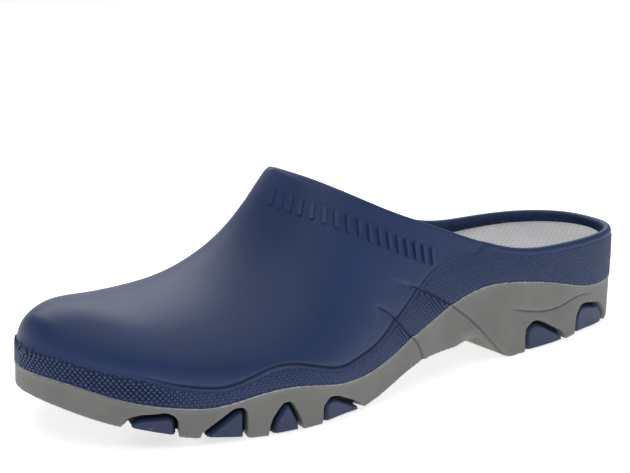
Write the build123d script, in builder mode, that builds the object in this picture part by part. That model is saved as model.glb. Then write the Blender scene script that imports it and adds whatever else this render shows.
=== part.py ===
"""Left garden clog, size EU 41: a moulded rubber upper in a grey cup sole, with twelve tread lugs and an insole.

Frame: +X points to the toe, +Y to the outer (lateral) side, +Z up. The origin is on the ground, at the middle
of the clog's length and width. Lengths are in millimetres. Curves have x counted from the back of the heel.
"""

import os
from bisect import bisect
from math import cos, pi, sin

from build123d import *

# driving dimensions
length = 291.0  # heel to toe, outside
wall = 3.2  # upper's wall
rand = 6.0  # width of the sole's outer ring, which cups the foot of the upper
lip = 2.4  # upper's thickness inside that ring
floor_height = 1.8  # upper's floor, between sole and insole
heel_ledge = 0.8  # how much narrower the foot's room is at floor level than above, at the heel
insole_gap = 1.2  # play between the insole and the upper
foam_height = 3.0  # insole's foam
cover_height = 1.0  # insole's textile cover
flare = 3.0  # how much the side leans out from the ground to its widest level
lug_reach = 18.0  # how far a lug goes in from the clog's side
lug_back = 3.2  # how far a lug's base plate stands back from the clog's side
lug_play = 1.9  # width of the groove around a lug's block
lug_corner = 1.2  # corner radius of a window
outside = -8.0  # depth at which a cut starts, well outside the clog's side
outline_samples = 1600  # points along the plan outline
end_margin = 0.35  # how far the first and last cross-section stay inside the ends
ridge_offset = 1.5  # how far the ridge of the upper lies to the medial side of the middle, at the throat
ridge_shift = 3.5  # how much further it lies there at the toe
rear_fullness = 1.3  # shape of the upper's arch at the throat: 1 is pointed, 2 an ellipse
toe_fullness = 2.2  # the same at the toe

# plan outline of the clog's side, seen from above: (x from the heel, y from the heel's middle)
heel_middle = (0, 0)
toe_tip = (length, -5)
lateral_side = [(9, 21), (30, 31), (60, 35), (95, 37), (130, 42), (165, 50.5)]
lateral_side += [(198, 56.4), (232, 51), (262, 38.2), (281.5, 19.5)]
medial_side = [(9, -20), (30, -30.5), (60, -31.5), (95, -30.5), (130, -33), (165, -41)]
medial_side += [(203, -51.2), (236, -50.5), (264, -43), (282.5, -27)]
outline_shift = -2.18  # brings the middle of the clog's width to y = 0

# side view curves: (x from the heel, z)
crown = [(0, 120), (60, 120), (105, 117), (147, 107), (167, 97.5), (182, 87), (193, 75.5), (205, 66)]
crown += [(220, 58.8), (238, 54), (256, 51.7), (272, 50.2), (282, 47), (288, 41.5), (length, 31)]
spring = [(0, 38), (60, 37), (110, 33), (160, 27), (205, 23), (250, 25), (length, 30)]
topline = [(-10, 42.2), (0, 42.6), (30, 43.2), (55, 43.8), (78, 45.8), (101, 51.5), (130, 62.3), (152, 71.8)]
topline += [(182, 87), (200, 96), (220, 106)]
parting = [(-10, 24), (0, 23.4), (10, 21.6), (22, 20.6), (36, 21.8), (53, 26.2), (71, 30.4), (85, 32.7)]
parting += [(98, 33.8), (109, 33), (123, 29.8), (140, 24.6), (154, 20.2), (164, 17.2), (174, 15), (186, 14.5)]
parting += [(200, 16.8), (212, 18.4), (224, 17.6), (241, 14.7), (252, 15.4), (262, 17), (272, 19.6), (282, 23.2)]
parting += [(300, 27)]
heel_bevel = [(-10, 5.5), (2, 3.2), (12, 0.9), (20, 0), (26, -0.5)]
arch = [(86, -0.6), (87, 0), (97, 5.4), (107, 9.8), (120, 11.4), (138, 10.9), (153, 8), (166, 3.6), (178, 0)]
arch += [(182, -1)]
toe_spring = [(214, -0.5), (222, 0), (236, 1.5), (250, 3.6), (264, 7), (276, 10.6), (286, 14.4), (300, 20)]
footbed = [(-10, 34.5), (0, 34.6), (30, 34.7), (60, 34.6), (90, 33.2), (120, 27.4), (150, 20.4), (180, 16.2)]
footbed += [(205, 15.4), (235, 15.7), (262, 17.6), (285, 20.6), (300, 23)]

# windows in the sole's side, from rear to front: (x from the heel, z), each open to the ground
windows = {
    "heel_1": [(15.5, -3), (16, 5), (21, 10.5), (33, 13), (38, 12.6), (41, 8), (41, -3)],
    "heel_2": [(49, -3), (50, 3), (66, 11.8), (71, 12.3), (75, 8), (75, -3)],
    "forefoot_1": [(173, -3), (175, 2.8), (190, 9.9), (194.5, 10.3), (197, 7.5), (197, -3)],
    "forefoot_2": [(205.5, -3), (207, 4), (211.5, 12), (215, 12.2), (219.5, 5), (221, -3)],
    "forefoot_3": [(229, -3), (229, 11), (231, 13), (233.5, 12.6), (246, 3.4), (247, -3)],
    "forefoot_4": [(253.5, -3), (253.5, 11), (256.5, 13.3), (266, 10.6), (271, 7), (271, -3)],
}


def local(x):
    """Place along X of a point counted from the back of the heel."""
    return x - length / 2


def ramp(x, start, end):
    """0 before start, 1 after end and even in between, with both counted from the back of the heel."""
    return min(1.0, max(0.0, (x - local(start)) / (end - start)))


def even_inset(amount):
    return lambda x: amount


def inner_inset(extra):
    """Inset of the foot's room at floor level: about the wall at the heel, and ring and lip further forward."""
    heel_inset = wall + heel_ledge
    return lambda x: extra + heel_inset + (rand + lip - heel_inset) * ramp(x, 50, 110)


def plan_sides(inset):
    """The lateral and medial halves of the plan outline, drawn in by inset, as points from heel to toe."""
    round_trip = [heel_middle, *lateral_side, toe_tip, *reversed(medial_side)]
    outline = Edge.make_spline([Vector(local(x), y + outline_shift) for x, y in round_trip], periodic=True)
    points = []
    for i in range(outline_samples):
        place, heading = outline.position_at(i / outline_samples), outline.tangent_at(i / outline_samples)
        points.append(place + Vector(heading.Y, -heading.X) * inset(place.X))
    xs = [p.X for p in points]
    heel, toe = xs.index(min(xs)), xs.index(max(xs))
    order = [(heel + i) % outline_samples for i in range(outline_samples)]
    turn = order.index(toe)
    lateral = [points[i] for i in order[: turn + 1]]
    medial = [points[heel]] + [points[i] for i in reversed(order[turn:])]
    return lateral, medial


def side_curve(points):
    edge = Edge.make_spline([Vector(local(x), z) for x, z in points])
    return [edge.position_at(i / outline_samples) for i in range(outline_samples + 1)]


def value_at(points, x):
    """Second coordinate of a curve where it passes a place along X."""
    i = min(max(bisect([p.X for p in points], x), 1), len(points) - 1)
    a, b = points[i - 1], points[i]
    share = (x - a.X) / (b.X - a.X) if b.X > a.X else 0
    return a.Y + share * (b.Y - a.Y)


crown_curve = side_curve(crown)
spring_curve = side_curve(spring)


def section(x, sides, inset):
    """One cross-section: upright sides that lean in towards the ground, under a round arch."""
    left, right = value_at(sides[0], x), value_at(sides[1], x)
    base = value_at(spring_curve, x)
    top = max(value_at(crown_curve, x) - inset, base + 1)
    ridge = outline_shift - ridge_offset - ridge_shift * ramp(x, 150, length)
    middle = min(max(ridge, right + 1), left - 1)
    fullness = rear_fullness + (toe_fullness - rear_fullness) * ramp(x, 186, 256)
    points = []
    for i in range(1, 12):
        turn = pi * i / 12
        reach = left - middle if cos(turn) > 0 else middle - right
        points.append((middle + cos(turn) * reach, base + (top - base) * sin(turn) ** (2 / fullness)))
    lean = min(flare, (left - right) / 4) if inset == 0 else 0
    straight = (top - base) / 12
    with BuildSketch(Plane((x, 0, 0), x_dir=(0, 1, 0), z_dir=(1, 0, 0))) as profile:
        with BuildLine():
            arch_ends = {"tangents": [(0, 1), (0, -1)], "tangent_scalars": [0.6, 0.6]}
            Spline((left, base), *points, (right, base), **arch_ends)
            Polyline((right, base), (right, base - straight), (right + lean, 0), (left - lean, 0),
                     (left, base - straight), (left, base))
        make_face()
    return profile.sketch


def form(inset, crown_inset, count=19):
    """The clog's solid shape, drawn in from the outside by inset; cross-sections crowd at its round ends."""
    sides = plan_sides(inset)
    first, last = sides[0][0].X + end_margin, sides[0][-1].X - end_margin
    middle, half = (first + last) / 2, (last - first) / 2
    places = [middle - half * cos(pi * i / (count - 1)) for i in range(count)]
    with BuildPart() as solid:
        loft([section(x, sides, crown_inset) for x in places])
    return solid.part


def side_prism(*pieces, far_z):
    """Everything between a side view curve, given in pieces, and the level far_z."""
    ends = (local(pieces[0][0][0]), local(pieces[-1][-1][0]))
    with BuildPart() as prism:
        with BuildSketch(Plane.XZ):
            with BuildLine():
                for piece in pieces:
                    Spline(*[(local(x), z) for x, z in piece])
                for a, b in zip(pieces, pieces[1:]):
                    Line((local(a[-1][0]), a[-1][1]), (local(b[0][0]), b[0][1]))
                front, rear = (ends[1], pieces[-1][-1][1]), (ends[0], pieces[0][0][1])
                Polyline(front, (ends[1], far_z), (ends[0], far_z), rear)
            make_face()
        extrude(amount=90, both=True)
    return prism.part


def raised(curve, amount):
    return [(x, z + amount) for x, z in curve]


def window_plane(side, x):
    """Upright plane through the clog's side at x, drawn along it towards the toe; and the way in from it."""
    y, step = value_at(side, x), 2.0
    rise = value_at(side, x + step) - value_at(side, x - step)
    along = Vector(2 * step, rise).normalized()
    plane = Plane(origin=(x, y, 0), x_dir=along, z_dir=(along.Y, -along.X, 0))
    return plane, (1 if y > 0 else -1)


def window_prism(side, outline, shrink, start, stop):
    """A window's outline, drawn in by shrink, from start to stop millimetres inside the clog's side."""
    middle = local((outline[0][0] + outline[-1][0]) / 2)
    plane, inwards = window_plane(side, middle)
    with BuildPart() as prism:
        with BuildSketch(plane.offset(start * inwards)):
            with BuildLine():
                Polyline(*[((local(x) - middle) / plane.x_dir.X, z) for x, z in outline], close=True)
            make_face()
            fillet([v for v in vertices() if v.Z > 0], lug_corner)
            if shrink:
                offset(amount=-shrink, mode=Mode.REPLACE)
        extrude(amount=(stop - start) * inwards)
    return prism.part


outer = form(even_inset(0), 0)
above_topline = side_prism(topline, far_z=130)
below_parting = side_prism(parting, far_z=-20)
below_ground = side_prism(heel_bevel, arch, toe_spring, far_z=-20)

# the sole before its windows: an outer ring up to the parting line, and a floor inside it
pocket = form(lambda x: rand, rand)
with BuildPart() as sole_blank:
    add(outer)
    add(below_parting, mode=Mode.INTERSECT)
    add(pocket, mode=Mode.SUBTRACT)
    add(pocket & side_prism(raised(footbed, -floor_height), far_z=-20))
    add(below_ground, mode=Mode.SUBTRACT)

# the foot's room: the wall's thickness away from the outside, and narrower at floor level
footbed_curve = side_curve(footbed)
ledge = [(x, lip + max(z, value_at(footbed_curve, local(x)))) for x, z in parting]
with BuildPart() as room:
    add(form(even_inset(wall), wall) & side_prism(ledge, far_z=130))
    add(form(inner_inset(0), rand + lip) & side_prism(footbed, far_z=60))

with BuildPart() as upper:
    add(outer)
    add(sole_blank.part, mode=Mode.SUBTRACT)
    add(below_ground, mode=Mode.SUBTRACT)
    add(room.part, mode=Mode.SUBTRACT)
    add(above_topline, mode=Mode.SUBTRACT)
upper.part.label = "upper"

# tread lugs, each moulded in its own window, and the sole with those windows
lugs = {}
recesses = []
for side_name, side in zip(("lateral", "medial"), plan_sides(even_inset(0))):
    for window_name, outline in windows.items():
        recess = window_prism(side, outline, 0, outside, lug_reach)
        with BuildPart() as lug:
            add(window_prism(side, outline, 0, lug_back, lug_reach))
            add(window_prism(side, outline, lug_play, outside, lug_back + 1))
            add(sole_blank.part, mode=Mode.INTERSECT)
        lug.part.label = f"lug_{window_name}_{side_name}"
        lugs[lug.part.label] = lug
        recesses.append(recess)

with BuildPart() as sole:
    add(sole_blank.part)
    add(recesses, mode=Mode.SUBTRACT)
sole.part.label = "sole"

# the loose insole: foam under a textile cover
insole_form = form(inner_inset(insole_gap), rand + lip)
foam_top = raised(footbed, foam_height)
cover_top = raised(footbed, foam_height + cover_height)
with BuildPart() as insole_foam:
    add(insole_form)
    add(side_prism(footbed, far_z=60), mode=Mode.INTERSECT)
    add(side_prism(foam_top, far_z=-20), mode=Mode.INTERSECT)
insole_foam.part.label = "insole_foam"

with BuildPart() as insole_cover:
    add(insole_form)
    add(side_prism(foam_top, far_z=60), mode=Mode.INTERSECT)
    add(side_prism(cover_top, far_z=-20), mode=Mode.INTERSECT)
insole_cover.part.label = "insole_cover"

os.makedirs("parts", exist_ok=True)
export_step(upper.part, "parts/upper.step")
export_step(sole.part, "parts/sole.step")
for label, lug in lugs.items():
    export_step(lug.part, f"parts/{label}.step")
export_step(insole_foam.part, "parts/insole_foam.step")
export_step(insole_cover.part, "parts/insole_cover.step")
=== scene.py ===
# Left garden clog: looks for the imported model. Lengths are metres; curves are in millimetres from the heel's back.
import random
from math import cos, pi, radians, sin, sqrt

import bmesh
import bpy
import numpy as np
from mathutils import Matrix, Vector


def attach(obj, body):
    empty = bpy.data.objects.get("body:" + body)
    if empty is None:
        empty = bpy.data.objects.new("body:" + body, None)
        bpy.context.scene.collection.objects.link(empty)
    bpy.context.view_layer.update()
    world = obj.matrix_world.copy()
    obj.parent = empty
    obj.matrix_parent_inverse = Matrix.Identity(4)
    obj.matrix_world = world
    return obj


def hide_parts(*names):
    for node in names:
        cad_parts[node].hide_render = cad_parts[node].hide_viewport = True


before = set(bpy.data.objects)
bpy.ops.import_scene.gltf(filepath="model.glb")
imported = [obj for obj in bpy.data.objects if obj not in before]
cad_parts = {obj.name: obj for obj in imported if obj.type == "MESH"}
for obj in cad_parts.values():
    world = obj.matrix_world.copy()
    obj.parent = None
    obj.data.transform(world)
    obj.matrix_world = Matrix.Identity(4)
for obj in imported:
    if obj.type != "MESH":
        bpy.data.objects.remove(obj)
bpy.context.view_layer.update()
mm = 0.001
print("frame loaded:", len(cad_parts), "nodes")


clogShape = {
    "length": 291.0,
    "wall": 3.2,
    "lip": 2.4,
    "floorHeight": 1.8,
    "ridgeOffset": 0.0,
    "ridgeShift": 4.0,
    "medialEase": 0.65,
    "rearFullness": 1.3,
    "toeFullness": 2.05,
    "outlineShift": -2.18,
    "tipSide": -5.0,
    "rimShift": 1.4,
}
lateralSide = [(9, 21), (30, 31), (60, 35), (95, 37), (130, 42), (165, 50.5), (198, 56.4), (232, 51), (262, 38.2),
               (281.5, 19.5)]
medialSide = [(9, -20), (30, -30.5), (60, -31.5), (95, -30.5), (130, -33), (165, -41), (203, -51.2), (236, -50.5),
              (264, -43), (282.5, -27)]
crown = [(0, 120), (60, 120), (105, 117), (147, 109), (167, 101.4), (182, 86), (193, 70.6), (205, 58.9),
         (220, 50.6), (238, 46.9), (256, 46.4), (272, 47.2), (282, 44.7), (288, 38.9), (291, 31)]
spring = [(0, 38), (60, 37), (110, 33), (160, 27), (205, 23), (250, 25), (291, 30)]
topline = [(-10, 42.2), (0, 42.6), (30, 43.2), (55, 43.8), (78, 45.8), (101, 52.8), (130, 64.8), (152, 74.1),
           (182, 88.6), (200, 97.6)]
parting = [(-10, 24), (0, 23.4), (10, 21.6), (22, 20.6), (36, 21.8), (53, 26.2), (71, 30.4), (85, 32.7), (98, 33.8),
           (109, 33), (123, 29.8), (140, 24.6), (154, 20.2), (164, 17.2), (174, 15), (186, 14.5), (200, 16.8),
           (212, 18.4), (224, 17.6), (241, 14.7), (252, 15.4), (262, 17), (272, 19.6), (282, 23.2), (300, 27)]
bandTop = [(80, 60), (95, 55), (103, 48.8), (114, 49.4), (123, 47.8), (132, 45.3), (140, 41), (151, 34.4),
           (161, 28.7), (170, 24.5), (180, 22), (186, 20.9), (200, 23.4), (208, 25.6), (216, 26.2), (228, 23.3),
           (237, 21.2), (246, 22), (256, 24.5), (265, 27.4), (275, 30), (285, 33.4), (300, 36)]
footbed = [(-10, 34.5), (0, 34.6), (30, 34.7), (60, 34.6), (90, 33.2), (120, 27.4), (150, 20.4), (180, 16.2),
           (205, 15.4), (235, 15.7), (262, 17.6), (285, 20.6), (300, 23)]
ground = [(-10, 5.5), (2, 3.2), (12, 0.9), (20, 0), (54, 0), (87, 0), (97, 5.4), (107, 9.8), (120, 11.4),
          (138, 10.9), (153, 8), (166, 3.6), (178, 0), (200, 0), (222, 0), (236, 1.5), (250, 3.6), (264, 7),
          (276, 10.6), (286, 14.4), (300, 20)]
leanIn = [(0, 1.2), (20, 0.9), (35, 1.6), (45, 0.4), (56, -1.1), (72, -1.4), (88, -1.9), (102, -1.3), (125, -0.2),
          (150, 0.2), (164, 0.6), (174, 2.2), (184, 3.2), (196, 2.3), (212, 1.7), (228, 1.2), (242, 0.5), (258, -0.4),
          (272, -1.5), (291, -0.9)]  # how far the ground edge lies inside the outline
straightGround = [(20, 87), (178, 222)]  # where the sole stands flat


def smoothCurve(points):
    # natural cubic through the points, for arrays of places
    x, y = np.array(points, float).T
    n, h = len(x), np.diff(np.array(points, float)[:, 0])
    system, right = np.zeros((n, n)), np.zeros(n)
    system[0, 0] = system[-1, -1] = 1
    for i in range(1, n - 1):
        system[i, i - 1:i + 2] = h[i - 1], 2 * (h[i - 1] + h[i]), h[i]
        right[i] = 6 * ((y[i + 1] - y[i]) / h[i] - (y[i] - y[i - 1]) / h[i - 1])
    bend = np.linalg.solve(system, right)

    def value(places):
        q = np.clip(places, x[0], x[-1])
        i = np.clip(np.searchsorted(x, q) - 1, 0, n - 2)
        a, b, w = x[i + 1] - q, q - x[i], h[i]
        return ((bend[i] * a ** 3 + bend[i + 1] * b ** 3) / (6 * w) + (y[i] / w - bend[i] * w / 6) * a
                + (y[i + 1] / w - bend[i + 1] * w / 6) * b)
    return value


def closedCurve(points, count):
    # periodic cubic through the points, sampled evenly between them
    p = np.array(points, float)
    n, h = len(p), np.linalg.norm(np.roll(p, -1, 0) - p, axis=1)
    system, right = np.zeros((n, n)), np.zeros((n, 2))
    for i in range(n):
        before, after = h[i - 1], h[i]
        system[i, (i - 1) % n] += before
        system[i, i] += 2 * (before + after)
        system[i, (i + 1) % n] += after
        right[i] = 6 * ((p[(i + 1) % n] - p[i]) / after - (p[i] - p[i - 1]) / before)
    bend = np.linalg.solve(system, right)
    samples = []
    for i in range(n):
        j, w = (i + 1) % n, h[i]
        b = np.linspace(0, w, count, endpoint=False)[:, None]
        a = w - b
        samples.append((bend[i] * a ** 3 + bend[j] * b ** 3) / (6 * w) + (p[i] / w - bend[i] * w / 6) * a
                       + (p[j] / w - bend[j] * w / 6) * b)
    return np.vstack(samples)


crownAt, springAt, toplineAt = smoothCurve(crown), smoothCurve(spring), smoothCurve(topline)
partingAt, bandTopAt, footbedAt = smoothCurve(parting), smoothCurve(bandTop), smoothCurve(footbed)
curvedGroundAt, leanInAt = smoothCurve(ground), smoothCurve(leanIn)


def groundAt(x):
    x = np.asarray(x, float)
    flat = np.zeros(x.shape, bool)
    for start, end in straightGround:
        flat |= (x > start) & (x < end)
    return np.where(flat, 0.0, np.maximum(curvedGroundAt(x), 0.0))


def ramp(x, start, end):
    return np.clip((np.asarray(x, float) - start) / (end - start), 0, 1)


def soft(x, start, end):
    t = ramp(x, start, end)
    return t * t * (3 - 2 * t)


def unit(vectors):
    return vectors / np.linalg.norm(vectors, axis=-1)[..., None]


def reachAlong(line):
    # distance along a line of points, from its start
    return np.r_[0, np.cumsum(np.linalg.norm(np.diff(line, axis=0), axis=1))]


def readAt(marks, reach, line):
    # a line of points read at marks between known reaches
    return np.stack([np.interp(marks, reach, line[:, i]) for i in range(line.shape[1])], -1)


def resampled(line, count):
    # the line again with evenly spaced points
    reach = reachAlong(line)
    return readAt(np.linspace(0, reach[-1], count), reach, line)


def evened(line, times):
    # smooths a line of points between its ends
    line = line.copy()
    for _ in range(times):
        line[1:-1] = (line[:-2] + 2 * line[1:-1] + line[2:]) / 4
    return line


def collarAt(x):
    # the collar's centre line, drawn in from its edge by the rounded rim
    ahead = soft(x, 140, 176)
    return toplineAt(x - clogShape["rimShift"] * ahead) - clogShape["wall"] / 2 * (1 - ahead)


searchX = np.linspace(176, 190, 1401)
throatX = float(searchX[np.argmax(collarAt(searchX) >= crownAt(searchX))])
print("throat at", round(throatX, 2))


def planOutline():
    # both sides of the outline, from the heel to the toe, each with its outward normals
    tip = (clogShape["length"], clogShape["tipSide"])
    trip = closedCurve([(0, 0), *lateralSide, tip, *reversed(medialSide)], 400)
    heel, toe = trip[:, 0].argmin(), trip[:, 0].argmax()
    trip = np.roll(trip, -heel, axis=0)
    turn = (toe - heel) % len(trip)
    trip[:, 1] += clogShape["outlineShift"]
    heading = np.roll(trip, -1, 0) - np.roll(trip, 1, 0)
    normal = unit(np.stack([-heading[:, 1], heading[:, 0]], 1))
    lateral, lateralNormal = trip[:turn + 1], normal[:turn + 1]
    back = np.r_[np.arange(len(trip) - 1, turn - 1, -1)]
    medial, medialNormal = np.vstack([trip[:1], trip[back]]), np.vstack([normal[:1], normal[back]])
    return (lateral, lateralNormal), (medial, medialNormal)


sides = planOutline()


def onSide(side, x):
    # outline points and outward normals at places along one side
    points, normals = sides[side]
    xs = np.maximum.accumulate(points[:, 0])
    rows = np.arange(len(xs))
    share = np.interp(x, xs, rows)
    return readAt(share, rows, points), unit(readAt(share, rows, normals))


columnCount = {"rear": 290, "front": 130}
fineRows = 200


def stationPlaces():
    # columns crowd at the heel, at the throat and at the toe, where the surface turns, and along the folds
    low, high = sides[0][0][0, 0], sides[0][0][:, 0].max()
    turning, turningFront = ((1 - np.cos(pi * np.linspace(0, 1, columnCount[part] + 1))) / 2 for part in columnCount)
    spots = np.linspace(low, throatX, 1000)
    dense = np.cumsum(1 + 1.6 * soft(spots, 78, 88) * (1 - soft(spots, 160, 172)))
    folded = np.interp(np.linspace(dense[0], dense[-1], columnCount["rear"] + 1), dense, spots)
    rear = 0.55 * (low + (throatX - low) * turning) + 0.45 * folded
    return np.r_[rear[:-1], throatX + (high - throatX) * turningFront]


stations = stationPlaces()
throatIndex = columnCount["rear"]
ringOrder = [(0, i) for i in range(len(stations))] + [(1, i) for i in range(len(stations) - 2, 0, -1)]
ringStations = np.array([i for _, i in ringOrder])
ringSides = np.array([s for s, _ in ringOrder])
ringX = stations[ringStations]
ringAt, ringOut = (np.array([onSide(s, np.array([x]))[i][0] for s, x in zip(ringSides, ringX)]) for i in (0, 1))
mirrorColumn = (len(ringOrder) - np.arange(len(ringOrder))) % len(ringOrder)


def wallLean(x, z, base, top):
    # how far the wall lies inside the outline below the place where it becomes the arch
    return leanInAt(x) * np.clip(1 - z / (base - (top - base) / 12), 0, 1)


def sideColumn(side, x):
    # the clog's outside from the ground to its rim or ridge, at one place along one side
    at, out = onSide(side, np.array([x]))
    at, out = at[0], out[0]
    base, top = float(springAt(x)), float(crownAt(x))
    top = max(top, base + 0.6)
    leftY, rightY = (onSide(s, np.array([x]))[0][0, 1] for s in (0, 1))
    ridge = clogShape["outlineShift"] - clogShape["ridgeOffset"] - clogShape["ridgeShift"] * ramp(x, 150, 291)
    middle = min(max(ridge, rightY + 1e-3), leftY - 1e-3)
    if leftY - rightY < 4:
        middle = (leftY + rightY) / 2
    fullness = clogShape["rearFullness"] + (clogShape["toeFullness"] - clogShape["rearFullness"]) * ramp(x, 186, 256)
    fullness -= side * clogShape["medialEase"] * soft(x, 138, 176) * (1 - ramp(x, 186, 256))
    turnEnd = pi / 2
    if x < throatX:
        share = (float(collarAt(x)) - base) / (top - base)
        turnEnd = np.arcsin(min(1.0, max(0.0, share)) ** (fullness / 2))
    wallZ = np.linspace(0, base, 60, endpoint=False)
    lean = wallLean(x, wallZ, base, top)
    wallPart = np.stack([at[0] - out[0] * lean, at[1] - out[1] * lean, wallZ], 1)
    turn = np.linspace(0, turnEnd, 120)
    archPart = np.stack([np.full(120, at[0]), middle + np.cos(turn) * (at[1] - middle),
                         base + (top - base) * np.sin(turn) ** (2 / fullness)], 1)
    return evened(resampled(np.vstack([wallPart, archPart]), fineRows), 60)


def fineForm():
    form = np.array([sideColumn(s, x) for s, x in zip(ringSides, ringX)])
    along = np.roll(form, -1, 0) - np.roll(form, 1, 0)
    up = np.gradient(form, axis=1)
    normal = np.cross(along, up)
    size = np.linalg.norm(normal, axis=2)
    tip = size < 1e-7
    normal[tip] = (1, 0, 0)
    normal = unit(normal)
    if (normal[:, 20, :2] * ringOut).sum() < 0:
        normal = -normal
        normal[tip] = (1, 0, 0)
    front = ringX >= throatX
    level = normal[:, -1].copy()
    level[front] = (normal[front, -1] + normal[mirrorColumn[front], -1]) / 2
    normal[:, -1] = unit(level)
    return form, normal


form, formNormal = fineForm()
print("form:", form.shape[0], "columns of", form.shape[1])


def columnRange(column, lowZ, highZ, count):
    # places and normals on one column between two heights; highZ None goes to its end
    z, rows = form[column, :, 2], np.arange(fineRows)
    first = np.interp(lowZ, z, rows)
    last = fineRows - 1 if highZ is None else np.interp(highZ, z, rows)
    marks = first + (last - first) * np.linspace(0, 1, count)
    return readAt(marks, rows, form[column]), unit(readAt(marks, rows, formNormal[column]))


def signedDistance(x, z, line):
    # distance from a crease drawn on the side, positive towards the toe, and the share along it
    line = np.array(line, float)
    course = smoothCurve(line[np.argsort(line[:, 0])])
    lineX = np.linspace(line[0, 0], line[-1, 0], 120)
    lineZ = course(lineX)
    dx, dz = x[..., None] - lineX, z[..., None] - lineZ
    nearest = (dx ** 2 + dz ** 2).argmin(-1)
    heading = unit(np.gradient(np.stack([lineX, lineZ], 1), axis=0))
    pick = lambda a: np.take_along_axis(a, nearest[..., None], -1)[..., 0]
    nearX, nearZ = pick(dx), pick(dz)
    across = heading[nearest, 0] * nearZ - heading[nearest, 1] * nearX
    return np.where(across > 0, 1, -1) * np.hypot(nearX, nearZ), nearest / 119


creases = {
    "long": [(159, 48.5), (141, 40.6), (123, 30.6), (109, 20.7), (97, 9.2), (88, 0)],
    "short": [(169, 40.2), (157, 32.6), (149, 23.8), (141, 15.8), (139, 11.1)],
    "heel": [(88, 21.6), (75, 17.8), (65, 15.9), (52, 16), (40, 17.6), (27, 15.8)],
}
creaseLook = {"width": 0.65, "softSide": 4.5, "depth": 1.0, "line": 0.55}


def creaseDepth(x, z, name):
    # a moulded fold: sharp on one side, easing out on the other, and fading at its ends
    distance, share = signedDistance(x, z, creases[name])
    sharp = np.exp(-(distance / creaseLook["width"]) ** 2)
    eased = 0.55 * np.exp(-(distance / creaseLook["softSide"]) ** 2) * (distance > 0)
    fade = soft(share, 0, 0.22) if name != "heel" else soft(share, 0, 0.2) * soft(1 - share, 0, 0.25)
    return creaseLook["depth"] * np.maximum(sharp, eased) * fade


def foldGap(x, z, name):
    # signed distance from a fold, growing where the fold fades, for the painted shade line at its bottom
    distance, share = signedDistance(x, z, creases[name])
    ends = soft(share, 0, 0.2) * (soft(1 - share, 0, 0.2) if name == "heel" else 1)
    return np.clip(distance / np.maximum(ends, 0.02), -30, 30)


def bandDistance(x, z):
    # height above the band's upper edge, measured square to that edge
    slope = bandTopAt(x + 0.5) - bandTopAt(x - 0.5)
    return (z - bandTopAt(x)) / np.sqrt(1 + slope ** 2)


def meshObject(name, verts, faces, smooth=True):
    mesh = bpy.data.meshes.new(name)
    mesh.from_pydata([tuple(v) for v in verts], [], faces)
    made = bmesh.new()
    made.from_mesh(mesh)
    bmesh.ops.remove_doubles(made, verts=made.verts, dist=2e-6)
    bmesh.ops.dissolve_degenerate(made, edges=made.edges, dist=1e-7)
    bmesh.ops.recalc_face_normals(made, faces=made.faces)
    made.to_mesh(mesh)
    openEdges = sum(1 for e in made.edges if len(e.link_faces) != 2)
    made.free()
    mesh.polygons.foreach_set("use_smooth", [smooth] * len(mesh.polygons))
    item = bpy.data.objects.new(name, mesh)
    bpy.context.collection.objects.link(item)
    print(name, "faces", len(mesh.polygons), "open edges", openEdges)
    return item


heelToMiddle = (clogShape["length"] / 2, 0, 0)


def toFrame(points):
    # from millimetres from the heel's back to the frame's metres
    return (np.asarray(points) - heelToMiddle) * mm


def vertexPlaces(item):
    # an object's points in millimetres from the heel's back
    co = np.empty(len(item.data.vertices) * 3)
    item.data.vertices.foreach_get("co", co)
    return co.reshape(-1, 3) / mm + heelToMiddle


def mark(item, label, values):
    item.data.attributes.new(label, "FLOAT", "POINT").data.foreach_set("value", values)


def sideDepth(places):
    # each place's side, depth inside that side's outline, the wall's lean there and the outward direction
    x, y, z = places.T
    middle = clogShape["outlineShift"] + np.interp(x, [0, clogShape["length"]], [0, clogShape["tipSide"]])
    side = (y < middle).astype(int)
    depth, outward = np.zeros(len(x)), np.zeros((len(x), 2))
    for s in (0, 1):
        chosen = side == s
        at, outward[chosen] = onSide(s, x[chosen])
        depth[chosen] = ((at - places[chosen, :2]) * outward[chosen]).sum(1)
    lean = leanInAt(x) * np.clip(1 - z / (springAt(x) - 6), 0, 1)
    return side, depth, lean, outward


class Patchwork:
    # gathers strips and grids of points into one mesh
    def __init__(self):
        self.points, self.faces = [], []

    def grid(self, rows):
        rows = np.asarray(rows, float)
        first, wide = len(self.points), rows.shape[1]
        self.points.extend(rows.reshape(-1, 3))
        for i in range(rows.shape[0] - 1):
            for j in range(wide - 1):
                a = first + i * wide + j
                self.faces.append((a, a + 1, a + wide + 1, a + wide))

    def build(self, name):
        return meshObject(name, toFrame(self.points), self.faces)


def across(lateralEdge, medialEdge, steps, rise=0.0):
    # straight strips between two edges that run from heel to toe
    share = np.linspace(0, 1, steps)[None, :, None]
    strip = lateralEdge[:, None, :] * (1 - share) + medialEdge[:, None, :] * share
    strip[:, :, 2] += rise * np.sin(pi * share[..., 0])
    return strip


def closedRing(grid):
    return np.concatenate([grid, grid[:1]], axis=0)


upperLook = {
    "bandRise": 0.55,
    "bandEdge": 0.8,
    "grooveDepth": 0.45,
    "grooveWidth": 0.75,
    "rows": (36, 34),
    "innerRows": 15,
    "cupRadius": 9.0,
    "ledgeInset": 5.6,
    "floorInset": 6.0,
    "rimSteps": 9,
    "edgeSmoothing": 20,
    "toeInset": 7.0,
}


def innerInset(x):
    return clogShape["wall"] + 0.8 + (upperLook["toeInset"] - clogShape["wall"] - 0.8) * soft(x, 60, 140)


def toeFade(x):
    # the band's edge dies away round the toe
    return 1 - 0.9 * soft(x, 242, 270)


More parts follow.
